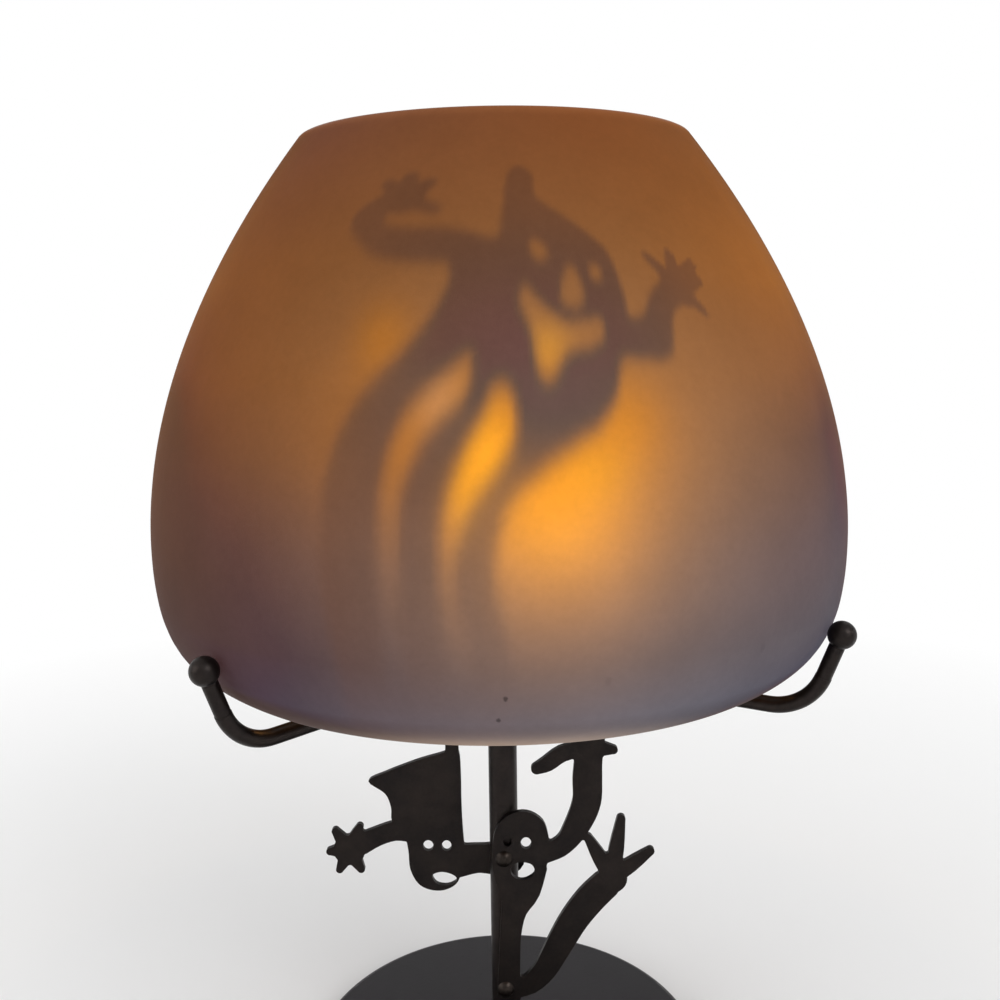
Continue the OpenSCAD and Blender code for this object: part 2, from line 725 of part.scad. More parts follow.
module ghost_right_rivets() {
    color(steel) right_rivet_places() rivet(figure_t + stem_grip);
}

// Tea light

wax_z = cup_floor + shell_t;
wax_r = tealight_d / 2 - shell_t;

// Its shell has a rolled edge as thick as two sheets
module tealight_shell() {
    r = tealight_d / 2;
    color(tin) translate([0, 0, cup_floor]) rotate_extrude($fn = 96) {
        square([r, shell_t]);
        translate([r - shell_t, 0]) square([shell_t, tealight_h]);
        translate([r - shell_t / 2, tealight_h]) circle(r = shell_t, $fn = 24);
    }
}

module tealight_wax() {
    color(wax_colour) translate([0, 0, wax_z]) difference() {
        cylinder(h = wax_h, r = wax_r, $fn = 96);
        translate([0, 0, -1]) cylinder(h = wax_h + 2, r = wick_d / 2);
        translate([0, 0, -1]) cylinder(h = tab_t + 1, d = tab_d);
    }
}

module tealight_wick() {
    color("dimgray") translate([0, 0, wax_z + tab_t])
        cylinder(h = wax_h - tab_t + wick_show, r = wick_d / 2, $fn = 24);
}

module wick_tab() {
    color(tin) translate([0, 0, wax_z]) cylinder(h = tab_t, d = tab_d);
}

// Shade

module shade_glass() {
    outer = glass_line(0);
    inner = glass_line(glass_t);
    last = len(outer) - 1;
    color(glass_colour) translate([0, 0, rim_z]) rotate_extrude($fn = 128) polygon(concat(
        outer,
        lip(outer[last], inner[last]),
        [for (i = [last:-1:0]) inner[i]],
        lip(inner[0], outer[0])
    ));
}

base_felt();
base_plate();
base_screw();
stem();
arm_hub();
arm_left();
arm_right();
arm_back();
ball_left();
ball_right();
ball_back();
candle_tray();
candle_cup();
cup_washer();
cup_screw();
ghost_bracket();
bracket_rivets();
ghost_upper();
ghost_upper_rivets();
ghost_left();
ghost_left_rivets();
ghost_right();
ghost_right_rivets();
tealight_shell();
tealight_wax();
tealight_wick();
wick_tab();
shade_glass();
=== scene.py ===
"""Looks of a lit tea light lamp: frosted glass, dark bronze, wax and flame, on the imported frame."""
import json
import math

import bpy
import numpy as np
from mathutils import Matrix, Vector
from mathutils.bvhtree import BVHTree


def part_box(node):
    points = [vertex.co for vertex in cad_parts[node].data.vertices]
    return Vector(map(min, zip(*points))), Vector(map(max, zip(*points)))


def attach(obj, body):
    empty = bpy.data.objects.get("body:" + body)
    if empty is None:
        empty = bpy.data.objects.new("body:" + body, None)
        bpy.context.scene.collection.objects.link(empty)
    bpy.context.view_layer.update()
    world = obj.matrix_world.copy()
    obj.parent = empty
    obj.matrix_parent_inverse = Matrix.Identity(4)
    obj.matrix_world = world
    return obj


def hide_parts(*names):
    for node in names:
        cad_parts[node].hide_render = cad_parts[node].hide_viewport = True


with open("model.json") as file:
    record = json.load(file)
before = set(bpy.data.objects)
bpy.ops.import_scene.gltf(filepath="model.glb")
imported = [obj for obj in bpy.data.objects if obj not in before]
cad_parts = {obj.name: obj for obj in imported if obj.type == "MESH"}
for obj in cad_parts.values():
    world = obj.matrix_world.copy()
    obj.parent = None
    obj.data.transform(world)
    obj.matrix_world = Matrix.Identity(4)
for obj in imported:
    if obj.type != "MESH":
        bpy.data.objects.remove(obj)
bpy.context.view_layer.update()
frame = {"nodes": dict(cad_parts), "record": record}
nodes = frame["nodes"]
scene = bpy.context.scene
MM = 0.001

# Heights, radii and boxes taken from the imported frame
RIM_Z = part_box("shade_glass")[0][2]
wax_low, wax_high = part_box("tealight_wax")
WAX_TOP = wax_high[2]
WAX_R = wax_high[0]
wick_low, wick_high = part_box("tealight_wick")
WICK_TOP = wick_high[2]
shell_low, shell_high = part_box("tealight_shell")

# The flame: its middle, which casts the shadow on the glass, its tip, and its glow's spread across and up
FLAME_MID = np.array((1.0 * MM, 0.0, RIM_Z + 29.5 * MM))
FLAME_TIP = RIM_Z + 40.0 * MM
FLAME_SPREAD = (1.6 * MM, 4.5 * MM)
FLAME_SAMPLES = (np.linspace(-2.8, 2.8, 9) * MM, np.linspace(-7.6, 7.6, 15) * MM)

# Camera at the photograph's place, in metres and degrees
CAMERA_PLACE = (0.00027, -0.2925, 0.21745)
CAMERA_TILT = 9.6
CAMERA_ROLL = -0.8
CAMERA_LENS = 39.6
CAMERA_SENSOR = 36.0


def make_camera():
    data = bpy.data.cameras.new("camera")
    data.sensor_width = CAMERA_SENSOR
    data.lens = CAMERA_LENS
    data.clip_start = 0.01
    cam = bpy.data.objects.new("camera", data)
    scene.collection.objects.link(cam)
    tilt = Matrix.Rotation(math.radians(90 - CAMERA_TILT), 4, "X")
    roll = Matrix.Rotation(math.radians(CAMERA_ROLL), 4, "Z")
    cam.matrix_world = Matrix.Translation(CAMERA_PLACE) @ tilt @ roll
    scene.camera = cam


# Materials
class Paint:
    """A material with one Principled shader, and short calls for the nodes in front of it."""

    def __init__(self, name, **sockets):
        self.material = bpy.data.materials.new(name)
        self.material.use_nodes = True
        self.tree = self.material.node_tree
        self.tree.nodes.clear()
        self.shader = self.node("ShaderNodeBsdfPrincipled")
        self.surface = self.node("ShaderNodeOutputMaterial").inputs["Surface"]
        self.tree.links.new(self.shader.outputs["BSDF"], self.surface)
        self.place = self.node("ShaderNodeTexCoord").outputs["Object"]
        for key, value in sockets.items():
            self.set(key.replace("_", " "), value)

    def node(self, kind, **values):
        made = self.tree.nodes.new(kind)
        for key, value in values.items():
            setattr(made, key, value)
        return made

    def plug(self, socket, value):
        if isinstance(value, bpy.types.NodeSocket):
            self.tree.links.new(value, socket)
        elif isinstance(value, tuple) and len(value) == 3 and socket.type == "RGBA":
            socket.default_value = (*value, 1.0)
        else:
            socket.default_value = value

    def set(self, name, value):
        """Sets or links the shader's socket of that name, in any case."""
        for socket in self.shader.inputs:
            if socket.name.lower() == name.lower():
                self.plug(socket, value)
                return
        raise KeyError(name)

    def stretched(self, x=1.0, y=1.0, z=1.0):
        made = self.node("ShaderNodeMapping")
        self.plug(made.inputs["Vector"], self.place)
        made.inputs["Scale"].default_value = (x, y, z)
        return made.outputs["Vector"]

    def noise(self, size, detail=3.0, rough=0.55, place=None):
        """Noise whose features are about size metres across."""
        made = self.node("ShaderNodeTexNoise")
        self.plug(made.inputs["Vector"], place or self.place)
        made.inputs["Scale"].default_value = 1.0 / size
        made.inputs["Detail"].default_value = detail
        made.inputs["Roughness"].default_value = rough
        return made.outputs["Fac"]

    def cells(self, size):
        """Distance from the middle of cells that are about size metres across."""
        made = self.node("ShaderNodeTexVoronoi", feature="F1")
        self.plug(made.inputs["Vector"], self.place)
        made.inputs["Scale"].default_value = 1.0 / size
        return made.outputs["Distance"]

    def math(self, operation, a, b=0.0, clamp=False):
        made = self.node("ShaderNodeMath", operation=operation, use_clamp=clamp)
        self.plug(made.inputs[0], a)
        self.plug(made.inputs[1], b)
        return made.outputs["Value"]

    def span(self, value, low, high, to_low=0.0, to_high=1.0):
        """Maps low to high onto to_low to to_high, and stops at both ends."""
        made = self.node("ShaderNodeMapRange")
        for name, part in (("Value", value), ("From Min", low), ("From Max", high), ("To Min", to_low),
                           ("To Max", to_high)):
            self.plug(made.inputs[name], part)
        return made.outputs["Result"]

    def ramp(self, value, stops, smooth=False):
        made = self.node("ShaderNodeValToRGB")
        made.color_ramp.interpolation = "EASE" if smooth else "LINEAR"
        elements = made.color_ramp.elements
        while len(elements) < len(stops):
            elements.new(0.5)
        for element, (at, colour) in zip(elements, stops):
            element.position = at
            element.color = (*colour, 1.0)
        self.plug(made.inputs["Fac"], value)
        return made.outputs["Color"]

    def times(self, colour, amount):
        """A colour multiplied by a number."""
        made = self.node("ShaderNodeMix", data_type="RGBA", blend_type="MULTIPLY")
        self.plug(made.inputs["Factor"], 1.0)
        self.plug(made.inputs[6], colour)
        self.plug(made.inputs[7], amount)
        return made.outputs[2]

    def axis(self, name):
        made = self.node("ShaderNodeSeparateXYZ")
        self.plug(made.inputs["Vector"], self.place)
        return made.outputs[name]

    def from_axis(self):
        """Distance from the lamp's upright axis."""
        return self.math("SQRT", self.math("ADD", self.math("POWER", self.axis("X"), 2.0),
                                           self.math("POWER", self.axis("Y"), 2.0)))

    def stored(self, name, what):
        """What the mesh stores under that name: Fac for a number, Color for a colour."""
        return self.node("ShaderNodeAttribute", attribute_name=name).outputs[what]

    def bump(self, height, depth, strength=1.0, under=None):
        made = self.node("ShaderNodeBump")
        self.plug(made.inputs["Strength"], strength)
        made.inputs["Distance"].default_value = depth
        self.plug(made.inputs["Height"], height)
        if under is not None:
            self.plug(made.inputs["Normal"], under)
        return made.outputs["Normal"]


def dark_metal(name, dark, light, rough, grain, pits=0.0):
    """Lacquered metal: mottled tone, uneven gloss, orange peel and a few pits."""
    p = Paint(name, Metallic=0.85, Specular_IOR_Level=0.4)
    cloud = p.noise(9 * MM, 4.0)
    fine = p.noise(0.9 * MM, 3.0)
    tone = p.math("ADD", p.math("MULTIPLY", cloud, 0.7), p.math("MULTIPLY", fine, 0.3))
    p.set("Base Color", p.ramp(tone, [(0.3, dark), (0.72, light)]))
    p.set("Roughness", p.span(p.noise(4 * MM, 5.0), 0.3, 0.7, rough - 0.07, rough + 0.09))
    normal = p.bump(p.noise(grain, 2.0), 0.05 * MM, 0.5)
    if pits:
        hollow = p.span(p.cells(pits), 0.0, 0.35)
        normal = p.bump(hollow, 0.06 * MM, 0.5, under=normal)
    p.set("Normal", normal)
    return p.material


def make_materials():
    made = {}
    made["bronze"] = dark_metal("bronze", (0.016, 0.013, 0.013), (0.036, 0.028, 0.024), 0.38, 1.2 * MM)
    made["figure_metal"] = dark_metal("figure_metal", (0.013, 0.011, 0.011), (0.030, 0.023, 0.020), 0.46,
                                      0.8 * MM, pits=2.2 * MM)
    made["rivet_metal"] = dark_metal("rivet_metal", (0.020, 0.016, 0.014), (0.050, 0.038, 0.031), 0.34, 0.6 * MM)

    p = Paint("foot_metal", Metallic=0.25, Specular_IOR_Level=0.35)
    cloud = p.noise(16 * MM, 4.0)
    p.set("Base Color", p.ramp(cloud, [(0.3, (0.006, 0.004, 0.006)), (0.75, (0.012, 0.009, 0.012))]))
    dust = p.span(p.noise(1.1 * MM, 6.0, 0.7), 0.62, 0.78, 0.0, 0.35)
    p.set("Roughness", p.math("ADD", p.span(cloud, 0.3, 0.7, 0.3, 0.42), dust, clamp=True))
    p.set("Normal", p.bump(p.noise(1.4 * MM, 2.0), 0.04 * MM, 0.4))
    made["foot_metal"] = p.material

    p = Paint("felt", Roughness=0.95, Sheen_Weight=0.4, Sheen_Roughness=0.5)
    fibre = p.noise(0.7 * MM, 6.0, 0.7, place=p.stretched(1.0, 2.2, 1.0))
    p.set("Base Color", p.ramp(fibre, [(0.3, (0.014, 0.014, 0.017)), (0.7, (0.045, 0.045, 0.052))]))
    p.set("Normal", p.bump(fibre, 0.3 * MM, 0.8))
    made["felt"] = p.material

    p = Paint("screw_steel", Metallic=1.0)
    turned = p.noise(0.5 * MM, 3.0, place=p.stretched(1.0, 1.0, 6.0))
    p.set("Base Color", p.ramp(turned, [(0.3, (0.42, 0.41, 0.38)), (0.7, (0.6, 0.59, 0.56))]))
    p.set("Roughness", p.span(turned, 0.3, 0.7, 0.24, 0.38))
    p.set("Normal", p.bump(turned, 0.03 * MM, 0.5))
    made["screw_steel"] = p.material

    p = Paint("tin", Metallic=1.0)
    drawn = p.noise(1.3 * MM, 4.0, place=p.stretched(3.0, 3.0, 0.25))
    p.set("Base Color", p.ramp(drawn, [(0.3, (0.66, 0.66, 0.68)), (0.7, (0.84, 0.84, 0.85))]))
    p.set("Roughness", p.span(p.noise(5 * MM, 4.0), 0.3, 0.7, 0.2, 0.34))
    p.set("Normal", p.bump(drawn, 0.05 * MM, 0.6))
    made["tin"] = p.material

    p = Paint("wax", Subsurface_Weight=0.7, Subsurface_Radius=(0.9, 0.55, 0.3), Subsurface_Scale=0.004)
    out = p.from_axis()
    pool = p.span(out, 0.008, 0.0145)
    p.set("Base Color", p.ramp(pool, [(0.0, (0.74, 0.6, 0.4)), (1.0, (0.84, 0.78, 0.66))]))
    p.set("Roughness", p.span(pool, 0.0, 1.0, 0.08, 0.42))
    # Painted glow of the flame's light in the wax, strongest round the wick
    p.set("Emission Color", (1.0, 0.5, 0.16))
    p.set("Emission Strength", p.span(out, 0.0, 0.017, 0.55, 0.04))
    p.set("Normal", p.bump(p.noise(2.5 * MM, 3.0), 0.08 * MM, p.math("MULTIPLY", pool, 0.5)))
    made["wax"] = p.material

    p = Paint("wick", Roughness=0.9)
    ember = p.span(p.axis("Z"), WICK_TOP - 1.6 * MM, WICK_TOP)
    braid = p.noise(0.35 * MM, 3.0, place=p.stretched(1.0, 1.0, 0.5))
    p.set("Base Color", p.ramp(braid, [(0.3, (0.012, 0.010, 0.009)), (0.7, (0.07, 0.055, 0.045))]))
    p.set("Emission Color", (1.0, 0.24, 0.03))
    p.set("Emission Strength", p.math("MULTIPLY", ember, p.span(braid, 0.4, 0.7, 0.0, 1.2)))
    p.set("Normal", p.bump(braid, 0.15 * MM, 0.8))
    made["wick"] = p.material
    return made


def frosted_glass():
    """Acid-frosted glass: the flame's light and the figure's shadow painted in as emission, a base colour that is
    partly painted light, and the room's light on it.
    """
    p = Paint("frosted_glass", IOR=1.5, Specular_IOR_Level=0.03)
    up = p.span(p.axis("Z"), RIM_Z, RIM_Z + 132 * MM)
    cloud = p.noise(14 * MM, 4.0)
    grain = p.noise(1.7 * MM, 5.0, 0.65)
    uneven = p.math("MULTIPLY", p.span(cloud, 0.3, 0.7, 0.955, 1.045), p.span(grain, 0.3, 0.7, 0.965, 1.035))
    # Base colour by height, partly painted light: lavender low down and amber towards the top, as the flame and
    # the room lit it
    body = p.ramp(up, [(0.0, (0.034, 0.028, 0.034)), (0.45, (0.034, 0.023, 0.018)),
                       (1.0, (0.034, 0.021, 0.009))])
    for x, z, size, left_over in SPECKS:
        away = p.node("ShaderNodeVectorMath", operation="DISTANCE")
        p.plug(away.inputs[0], p.stretched(1.0, 1.0, SPECK_SQUASH))
        p.plug(away.inputs[1], (x * MM, -math.sqrt(glass_radius(z) ** 2 - x ** 2) * MM,
                                (RIM_Z + z * MM) * SPECK_SQUASH))
        ragged = p.math("ADD", away.outputs["Value"], p.span(p.noise(0.5 * MM), 0.3, 0.7, -0.1 * MM, 0.1 * MM))
        mask = p.span(ragged, size * 0.55 * MM, size * 1.1 * MM, left_over, 1.0)
        uneven = p.math("MULTIPLY", uneven, mask)
    p.set("Base Color", p.times(body, uneven))
    # Emission: the flame's light, its spots and the figure's shadow, painted into the stored glow colour
    p.set("Emission Color", p.times(p.stored("glow", "Color"), uneven))
    p.set("Emission Strength", 1.0)
    lips = p.stored("lip", "Fac")
    p.set("Roughness", p.span(lips, 0.0, 1.0, 0.66, 0.2))
    etch = p.noise(0.35 * MM, 3.0, 0.7)
    wave = p.noise(11 * MM, 2.0)
    rough = p.bump(etch, 0.05 * MM, p.math("MULTIPLY", p.math("SUBTRACT", 1.0, lips), 0.5))
    p.set("Normal", p.bump(wave, 0.5 * MM, 0.12, under=rough))
    return p.material


def flame_paint():
    """Blue at the wick, bright in the middle and red at the tip."""
    p = Paint("flame", Roughness=1.0, Specular_IOR_Level=0.0)
    up = p.span(p.axis("Z"), WICK_TOP - 3 * MM, FLAME_TIP + 0.5 * MM)
    p.set("Base Color", (0.0, 0.0, 0.0))
    stops = [(0.0, (0.02, 0.06, 0.35)), (0.16, (0.35, 0.12, 0.05)), (0.32, (1.0, 0.5, 0.12)),
             (0.6, (1.0, 0.83, 0.42)), (0.85, (1.0, 0.6, 0.16)), (1.0, (0.95, 0.3, 0.03))]
    p.set("Emission Color", p.ramp(up, stops, smooth=True))
    flicker = p.noise(4 * MM, 2.0, place=p.stretched(1.0, 1.0, 0.4))
    p.set("Emission Strength", p.span(flicker, 0.3, 0.7, 0.9, 1.15))
    return p.material


# Meshes
def new_mesh(name, verts, faces, paint):
    data = bpy.data.meshes.new(name)
    data.from_pydata([tuple(v) for v in verts], [], faces)
    data.validate()
    data.materials.append(paint)
    for polygon in data.polygons:
        polygon.use_smooth = True
    made = bpy.data.objects.new(name, data)
    scene.collection.objects.link(made)
    return made


def turned_points(line, angles, shape):
    """The (r, z) points of a line at each angle about the axis; shape, if given, moves r and z there."""
    rows, turns = len(line), len(angles)
    r = np.repeat(line[:, 0][:, None], turns, 1)
    z = np.repeat(line[:, 1][:, None], turns, 1)
    a = np.repeat(angles[None, :], rows, 0)
    if shape is not None:
        r, z = shape(r, z, a)
    return np.stack([r * np.sin(a), -r * np.cos(a), z], 2).reshape(-1, 3)


def revolve(name, line, angles, paint, shape=None):
    """Turns a closed line of (r, z) points about the axis."""
    verts = turned_points(line, angles, shape)
    rows, turns = len(line), len(angles)
    faces = []
    for i in range(rows):
        j = (i + 1) % rows
        for k in range(turns):
            m = (k + 1) % turns
            faces.append((i * turns + k, i * turns + m, j * turns + m, j * turns + k))
    return new_mesh(name, verts, faces, paint)


def solid_turn(name, line, angles, paint, shape=None):
    """As revolve, for a line that starts and ends on the axis."""
    verts = [*turned_points(line[1:-1], angles, shape), (0.0, 0.0, line[0][1]), (0.0, 0.0, line[-1][1])]
    rows, turns = len(line) - 2, len(angles)
    first, last = rows * turns, rows * turns + 1
    faces = []
    for k in range(turns):
        m = (k + 1) % turns
        faces.append((first, m, k))
        faces.append((last, (rows - 1) * turns + k, (rows - 1) * turns + m))
        for i in range(rows - 1):
            faces.append((i * turns + k, i * turns + m, (i + 1) * turns + m, (i + 1) * turns + k))
    return new_mesh(name, verts, faces, paint)


def even_turns(count):
    """Angles all round, in even steps."""
    return np.arange(count) * 2 * math.pi / count


# Glass shade, in millimetres from the axis and from the lower rim: its outer face is two curves
MOUTH = (77.0, 0.0)
BELLY = (90.0, 31.5)
NECK = (49.5, 131.0)
GLASS = 3.0
LOWER = np.array([MOUTH, (86.0, 5.2), (90.0, 12.6), BELLY])
UPPER = np.array([BELLY, (90.0, 75.78), (62.5, 114.4), NECK])

# Small dark specks in the frosting: place across and up, size, and how much light they leave
SPECKS = ((0.8, 14.1, 0.5, 0.45), (-0.65, 9.0, 0.5, 0.45), (55.0, 18.0, 0.9, 0.9), (21.0, 16.8, 0.8, 0.93))
SPECK_SQUASH = 0.66

# The upper figure's plate is turned by this many degrees about the upright axis
FIGURE_TURN = -12


def bezier(p, t):
    """Points on a curve of four control points, and the way along it at each."""
    t = t[:, None]
    point = (1 - t) ** 3 * p[0] + 3 * (1 - t) ** 2 * t * p[1] + 3 * (1 - t) * t ** 2 * p[2] + t ** 3 * p[3]
    way = 3 * ((1 - t) ** 2 * (p[1] - p[0]) + 2 * (1 - t) * t * (p[2] - p[1]) + t ** 2 * (p[3] - p[2]))
    return point, way / np.linalg.norm(way, axis=1)[:, None]


def glass_line(steps):
    """Evenly spaced points up the outer face, and the way up at each."""
    a, wa = bezier(LOWER, np.linspace(0, 1, 200))
    b, wb = bezier(UPPER, np.linspace(0, 1, 400))
    points, ways = np.vstack([a, b[1:]]), np.vstack([wa, wb[1:]])
    run = np.concatenate([[0], np.cumsum(np.linalg.norm(np.diff(points, axis=0), axis=1))])
    at = np.linspace(0, run[-1], steps)
    points = np.stack([np.interp(at, run, points[:, i]) for i in (0, 1)], 1)
    ways = np.stack([np.interp(at, run, ways[:, i]) for i in (0, 1)], 1)
    return points, ways / np.linalg.norm(ways, axis=1)[:, None]


def glass_radius(z):
    points = glass_line(400)[0]
    return float(np.interp(z, points[:, 1], points[:, 0]))


def lip(start, end, steps=10):
    """Half a round from start to end, without these two points."""
    middle, arm = (start + end) / 2, (start - end) / 2
    side = np.array([-arm[1], arm[0]])
    turn = np.pi * np.arange(1, steps) / steps
    return middle + np.cos(turn)[:, None] * arm + np.sin(turn)[:, None] * side


def figure_mask(step=0.25 * MM, margin=2 * MM):
    """Where the upper figure's plate stops light, seen square on: a grid over its plane."""
    plate = nodes["ghost_upper"]
    turn = math.radians(FIGURE_TURN)
    along = Vector((math.cos(turn), math.sin(turn), 0.0))
    front = Vector((math.sin(turn), -math.cos(turn), 0.0))
    spots = [v.co for v in plate.data.vertices]
    out = [v.dot(front) for v in spots]
    side = [v.dot(along) for v in spots]
    low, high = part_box("ghost_upper")
    tree = BVHTree.FromObject(plate, bpy.context.evaluated_depsgraph_get())
    us = np.arange(min(side) - margin, max(side) + margin, step)
    zs = np.arange(low[2] - margin, high[2] + margin, step)
    start = front * (min(out) - 1 * MM)
    grid = np.zeros((len(zs), len(us)))
    for i, z in enumerate(zs):
        for j, u in enumerate(us):
            hit = tree.ray_cast(start + along * float(u) + Vector((0, 0, float(z))), front, 4 * MM)
            grid[i, j] = 0.0 if hit[0] is None else 1.0
    return grid, us, zs, np.array(along), np.array(front), (min(out) + max(out)) / 2


def flame_reaches(points):
    """Share of the flame that each point of the glass sees past the figure's plate."""
    grid, us, zs, along, front, far = figure_mask()
    step = us[1] - us[0]
    seen = np.zeros(len(points))
    total = 0.0
    for dx in FLAME_SAMPLES[0]:
        for dz in FLAME_SAMPLES[1]:
            weight = math.exp(-(dx / FLAME_SPREAD[0]) ** 2 - (dz / FLAME_SPREAD[1]) ** 2)
            source = FLAME_MID + np.array([dx, 0, dz])
            way = points - source
            toward = way @ front
            share = (far - source @ front) / np.where(toward > 1e-6, toward, 1.0)
            cross = source + way * share[:, None]
            u, z = cross @ along, cross[:, 2]
            i = np.clip(((z - zs[0]) / step).astype(int), 0, len(zs) - 1)
            j = np.clip(((u - us[0]) / step).astype(int), 0, len(us) - 1)
            inside = (toward > 1e-6) & (share < 1) & (z > zs[0]) & (z < zs[-1]) & (u > us[0]) & (u < us[-1])
            seen += weight * (1 - np.where(inside, grid[i, j], 0.0))
            total += weight
    return seen / total


def by_height(z, stops):
    """Colour by height in millimetres above the lower rim."""
    at = [stop[0] for stop in stops]
    return np.stack([np.interp(z, at, [stop[1][k] for stop in stops]) for k in range(3)], -1)


def soft_step(value, low, high):
    """0 below low and 1 above high, with a smooth way between them."""
    part = np.clip((value - low) / (high - low), 0, 1)
    return part * part * (3 - 2 * part)


# Painted light on the glass, as linear colours of the glow by height above the lower rim, in millimetres: first in
# the figure's painted shadow
SHADED = ((0, (0.208, 0.034, -0.060)), (8, (0.252, 0.096, 0.028)), (20, (0.211, 0.067, 0.001)),
          (40, (0.205, 0.068, 0.008)), (75, (0.236, 0.079, 0.008)), (100, (0.146, 0.041, 0.003)),
          (131, (0.081, 0.018, 0.005)))
# Added where the flame's light arrives
LIT = ((0, (-0.223, -0.049, 0.054)), (60, (-0.067, -0.021, 0.004)), (75, (-0.038, -0.017, -0.003)),
       (100, (0.030, 0.009, -0.002)), (131, (0.067, 0.018, 0.003)))
# Added towards the right and taken away towards the left
RIGHTWARD = ((0, (0.023, 0.051, 0.072)), (50, (0.018, 0.019, 0.016)), (131, (0.046, 0.006, -0.010)))
# Added towards both edges, as seen from the front
EDGEWARD = ((0, (-0.209, -0.252, -0.249)), (30, (-0.444, -0.277, -0.222)), (60, (-1.250, -0.580, -0.050)),
            (95, (0.587, 0.203, -0.061)), (131, (0.083, -0.006, -0.195)))
# Added on the left and on the right side
LEFT_SIDE = ((0, (-0.044, -0.040, -0.042)), (18, (-0.050, -0.025, 0.011)), (35, (-0.026, -0.018, 0.000)),
             (60, (-0.024, -0.009, 0.003)), (95, (0.007, 0.0, 0.0)), (131, (0.0, -0.004, 0.001)))
RIGHT_SIDE = ((0, (-0.06, -0.08, -0.10)), (18, (0.016, 0.006, -0.003)), (35, (0.010, 0.010, 0.016)),
              (60, (-0.034, -0.008, 0.009)), (95, (0.051, 0.013, -0.001)), (131, (-0.022, 0.001, 0.005)))
# Round the back, where a band of light at the flame's height is added
BEHIND = ((0, (0.050, 0.030, 0.034)), (40, (0.120, 0.048, 0.020)), (80, (0.170, 0.060, 0.008)),
          (131, (0.110, 0.036, 0.004)))
BAND = (0.30, 0.12, 0.012)
BAND_HEIGHT = 50
BAND_SPREAD = 24
# The least glow at the front, as a share of the glow round the back
LEAST = (0.6, 0.5, 0.3)

# Turns about the axis, in radians from the front: where the front's pattern stops changing, where it gives way
# to the back's, where the two sides' own tone sets in, and where the band at the back does
FRONT_END = 1.08
TO_BACK = (0.98, 1.55)
TO_SIDE = (0.3, 1.0)
TO_BAND = (1.6, 3.0)

# The painted shadow sets in over the first of these heights, and loses a share of its depth over the second
SHADOW_RISE = (-5, 90)
SHADOW_FADE = (84, 118)
SHADOW_LOSS = 0.28

# Painted highlights caught in the two rims
LOW_RIM = (0.27, 0.205, 0.155)
HIGH_RIM = (0.05, 0.02, 0.008)

# Painted spots of light: turn, height, width, tallness, falloff (0 is a soft bell), colour in shadow and colour
# where lit
DARK = (0.0, 0.0, 0.0)
SPOTS = (
    (7.2, 49.0, 21.6, 21.0, 1.6, DARK, (0.726, 0.233, -0.052)),
    (7.2, 49.0, 46.0, 46.0, 0, (-0.269, -0.058, 0.048), (0.303, 0.124, 0.024)),
    (1.0, 62.0, 30.0, 16.0, 0, DARK, (0.168, 0.012, -0.048)),
    (-1.0, 62.0, 5.5, 9.0, 0, DARK, (0.340, 0.150, -0.010)),
    (-4.3, 54.0, 4.5, 9.0, 0, DARK, (0.180, 0.080, -0.010)),
    (-7.5, 71.0, 5.5, 7.0, 0, DARK, (0.130, 0.080, 0.045)),
    (7.2, 81.5, 4.5, 5.0, 0, DARK, (0.170, 0.075, -0.010)),
    (17.5, 67.0, 8.0, 8.0, 0, DARK, (0.130, 0.030, -0.020)),
    (12.3, 58.0, 7.0, 6.0, 0, DARK, (0.100, 0.045, -0.010)),
    (-16.5, 83.5, 6.0, 7.0, 0, DARK, (0.110, 0.028, -0.015)),
)


def painted_glow_colour(points, seen):
    """The painted glow of the glass: a wash of painted light, the flame's painted spots of light, and the figure's
    painted shadow in front of them.
    """
    z = (points[:, 2] - RIM_Z) / MM
    r = np.hypot(points[:, 0], points[:, 1]) / MM
    turn = np.arctan2(points[:, 0], -points[:, 1])
    depth = soft_step(z, *SHADOW_RISE) * (1 - SHADOW_LOSS * soft_step(z, *SHADOW_FADE))
    share = (1 - (1 - seen) * depth)[:, None]
    front_turn = np.clip(turn, -FRONT_END, FRONT_END)
    right = np.sin(front_turn)[:, None]
    edge = ((1 - np.cos(front_turn)) ** 4)[:, None]
    front = by_height(z, SHADED) + right * by_height(z, RIGHTWARD) + edge * by_height(z, EDGEWARD)
    front += share * by_height(z, LIT)
    front += soft_step(-turn, *TO_SIDE)[:, None] * by_height(z, LEFT_SIDE)
    front += soft_step(turn, *TO_SIDE)[:, None] * by_height(z, RIGHT_SIDE)
    for at, height, wide, tall, power, shaded, lit in SPOTS:
        s2 = (r * (turn - math.radians(at)) / wide) ** 2 + ((z - height) / tall) ** 2
        spot = (np.exp(-s2) if power == 0 else 1 / (1 + s2) ** power)[:, None]
        front += spot * (np.array(shaded) + share * np.array(lit))
    around = np.abs(turn)
    band = (np.exp(-((z - BAND_HEIGHT) / BAND_SPREAD) ** 2) * soft_step(around, *TO_BAND))[:, None]
    behind = by_height(z, BEHIND) + band * np.array(BAND)
    away = soft_step(around, *TO_BACK)[:, None]
    least = behind * np.array(LEAST)
    # The larger of the two, with a rounded corner between them
    front = (front + least + np.sqrt((front - least) ** 2 + 0.01 ** 2)) / 2
    return front * (1 - away) + behind * away


